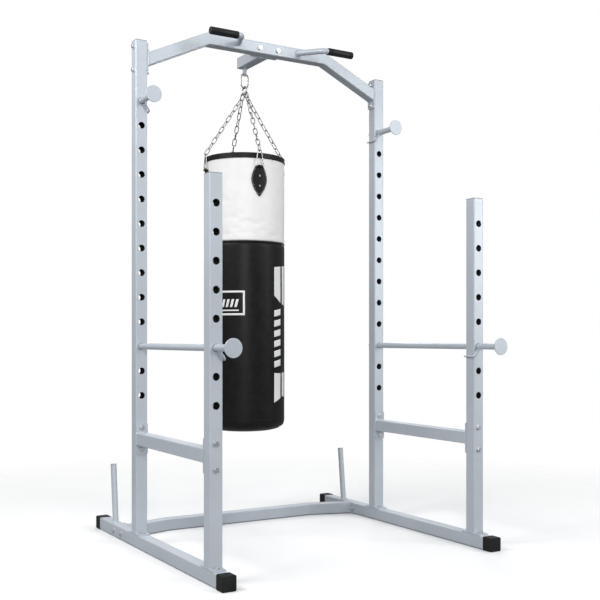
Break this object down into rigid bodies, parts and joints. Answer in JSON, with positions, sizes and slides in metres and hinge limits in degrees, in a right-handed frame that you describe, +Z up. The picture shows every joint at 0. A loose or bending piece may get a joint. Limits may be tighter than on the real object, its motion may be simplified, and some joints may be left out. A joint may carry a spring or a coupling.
{
  "type": "punching bag on stand",
  "caption": "Free-standing steel half rack with pull-up bar, safety bars, barbell pegs and a hanging punching bag on chains.",
  "frame": {"origin": "on the floor, at the middle of the whole object's footprint", "axes": "+Z up, +Y from the short uprights towards the tall uprights and the bag, +X to the right as seen from the short uprights"},
  "size_m": [1.251, 1.314, 2.147],
  "materials": {
    "frame_paint": "silver-grey powder coat, satin",
    "black_rubber": "matt moulded rubber",
    "grip_rubber": "smooth ribbed sleeve",
    "grey_plastic": "fine-grained plastic",
    "zinc_steel": "bright zinc plating",
    "chain_steel": "nickel-plated steel",
    "tab_leather": "black smooth leather",
    "white_vinyl": "white coated vinyl, satin",
    "black_vinyl": "black coated vinyl, satin",
    "textile_fill": "packed shredded textile"
  },
  "bodies": {
    "frame": {"left_base_rail": "frame_paint", "left_tall_upright": "frame_paint", "left_short_upright": "frame_paint", "left_side_brace": "frame_paint", "left_plate_peg": "frame_paint", "left_pull_up_handle": "frame_paint", "left_front_end_cap": "black_rubber", "left_rear_end_cap": "black_rubber", "left_handle_grip": "grip_rubber", "left_tall_plug": "grey_plastic", "left_short_plug": "grey_plastic", "left_plate_peg_plug": "grey_plastic", "right_base_rail": "frame_paint", "right_tall_upright": "frame_paint", "right_short_upright": "frame_paint", "right_side_brace": "frame_paint", "right_plate_peg": "frame_paint", "right_pull_up_handle": "frame_paint", "right_front_end_cap": "black_rubber", "right_rear_end_cap": "black_rubber", "right_handle_grip": "grip_rubber", "right_tall_plug": "grey_plastic", "right_short_plug": "grey_plastic", "right_plate_peg_plug": "grey_plastic", "rear_cross_member": "frame_paint", "pull_up_bar": "frame_paint", "bag_hanger_arm": "frame_paint", "hanger_arm_plug": "grey_plastic", "foot_bolts": "zinc_steel", "foot_weld_nuts": "zinc_steel", "brace_bolts": "zinc_steel", "pull_up_bar_bolts": "zinc_steel", "cross_member_bolts": "zinc_steel", "hanger_bolts": "zinc_steel", "lock_nuts": "zinc_steel", "flat_washers": "zinc_steel"},
    "left_safety": {"left_safety_bar": "frame_paint", "left_safety_lock": "frame_paint"},
    "left_peg": {"left_bar_peg": "frame_paint", "left_bar_peg_lock": "frame_paint"},
    "right_safety": {"right_safety_bar": "frame_paint", "right_safety_lock": "frame_paint"},
    "right_peg": {"right_bar_peg": "frame_paint", "right_bar_peg_lock": "frame_paint"},
    "carabiner": {"carabiner_body": "chain_steel", "carabiner_pin": "chain_steel"},
    "gate": {"carabiner_gate": "chain_steel"},
    "ring": {"chain_ring": "chain_steel"},
    "bag": {"front_chain": "chain_steel", "rear_chain": "chain_steel", "left_chain": "chain_steel", "right_chain": "chain_steel", "d_rings": "chain_steel", "leather_tabs": "tab_leather", "tab_rivets": "chain_steel", "bag_upper_band": "white_vinyl", "bag_lower_cover": "black_vinyl", "bag_top_cover": "black_vinyl", "bag_filling": "textile_fill"}
  },
  "joints": [
    {"name": "left_safety_bar_slide", "type": "slide", "parent": "frame", "child": "left_safety", "axis": [0, -1, 0], "range_m": [0, 0.8]},
    {"name": "left_bar_peg_slide", "type": "slide", "parent": "frame", "child": "left_peg", "axis": [0, -1, 0], "range_m": [0, 0.12]},
    {"name": "right_safety_bar_slide", "type": "slide", "parent": "frame", "child": "right_safety", "axis": [0, -1, 0], "range_m": [0, 0.8]},
    {"name": "right_bar_peg_slide", "type": "slide", "parent": "frame", "child": "right_peg", "axis": [0, -1, 0], "range_m": [0, 0.12]},
    {"name": "bag_fore_aft_swing", "type": "hinge", "parent": "frame", "child": "carabiner", "pos_m": [0, 0.404, 2.06626], "axis": [1, 0, 0], "range_deg": [-25, 25]},
    {"name": "bag_twist", "type": "hinge", "parent": "carabiner", "child": "ring", "pos_m": [0, 0.404, 2.00816], "axis": [0, 0, 1], "range_deg": [-20, 20]},
    {"name": "bag_side_swing", "type": "hinge", "parent": "ring", "child": "bag", "pos_m": [0, 0.404, 1.9731], "axis": [0, 1, 0], "range_deg": [-12, 12]},
    {"name": "carabiner_gate_hinge", "type": "hinge", "parent": "carabiner", "child": "gate", "pos_m": [0.0175, 0.404, 2.02376], "axis": [0, -1, 0], "range_deg": [0, 22], "stiffness_Nm_per_rad": 0.05, "springref_deg": -11.46}
  ]
}
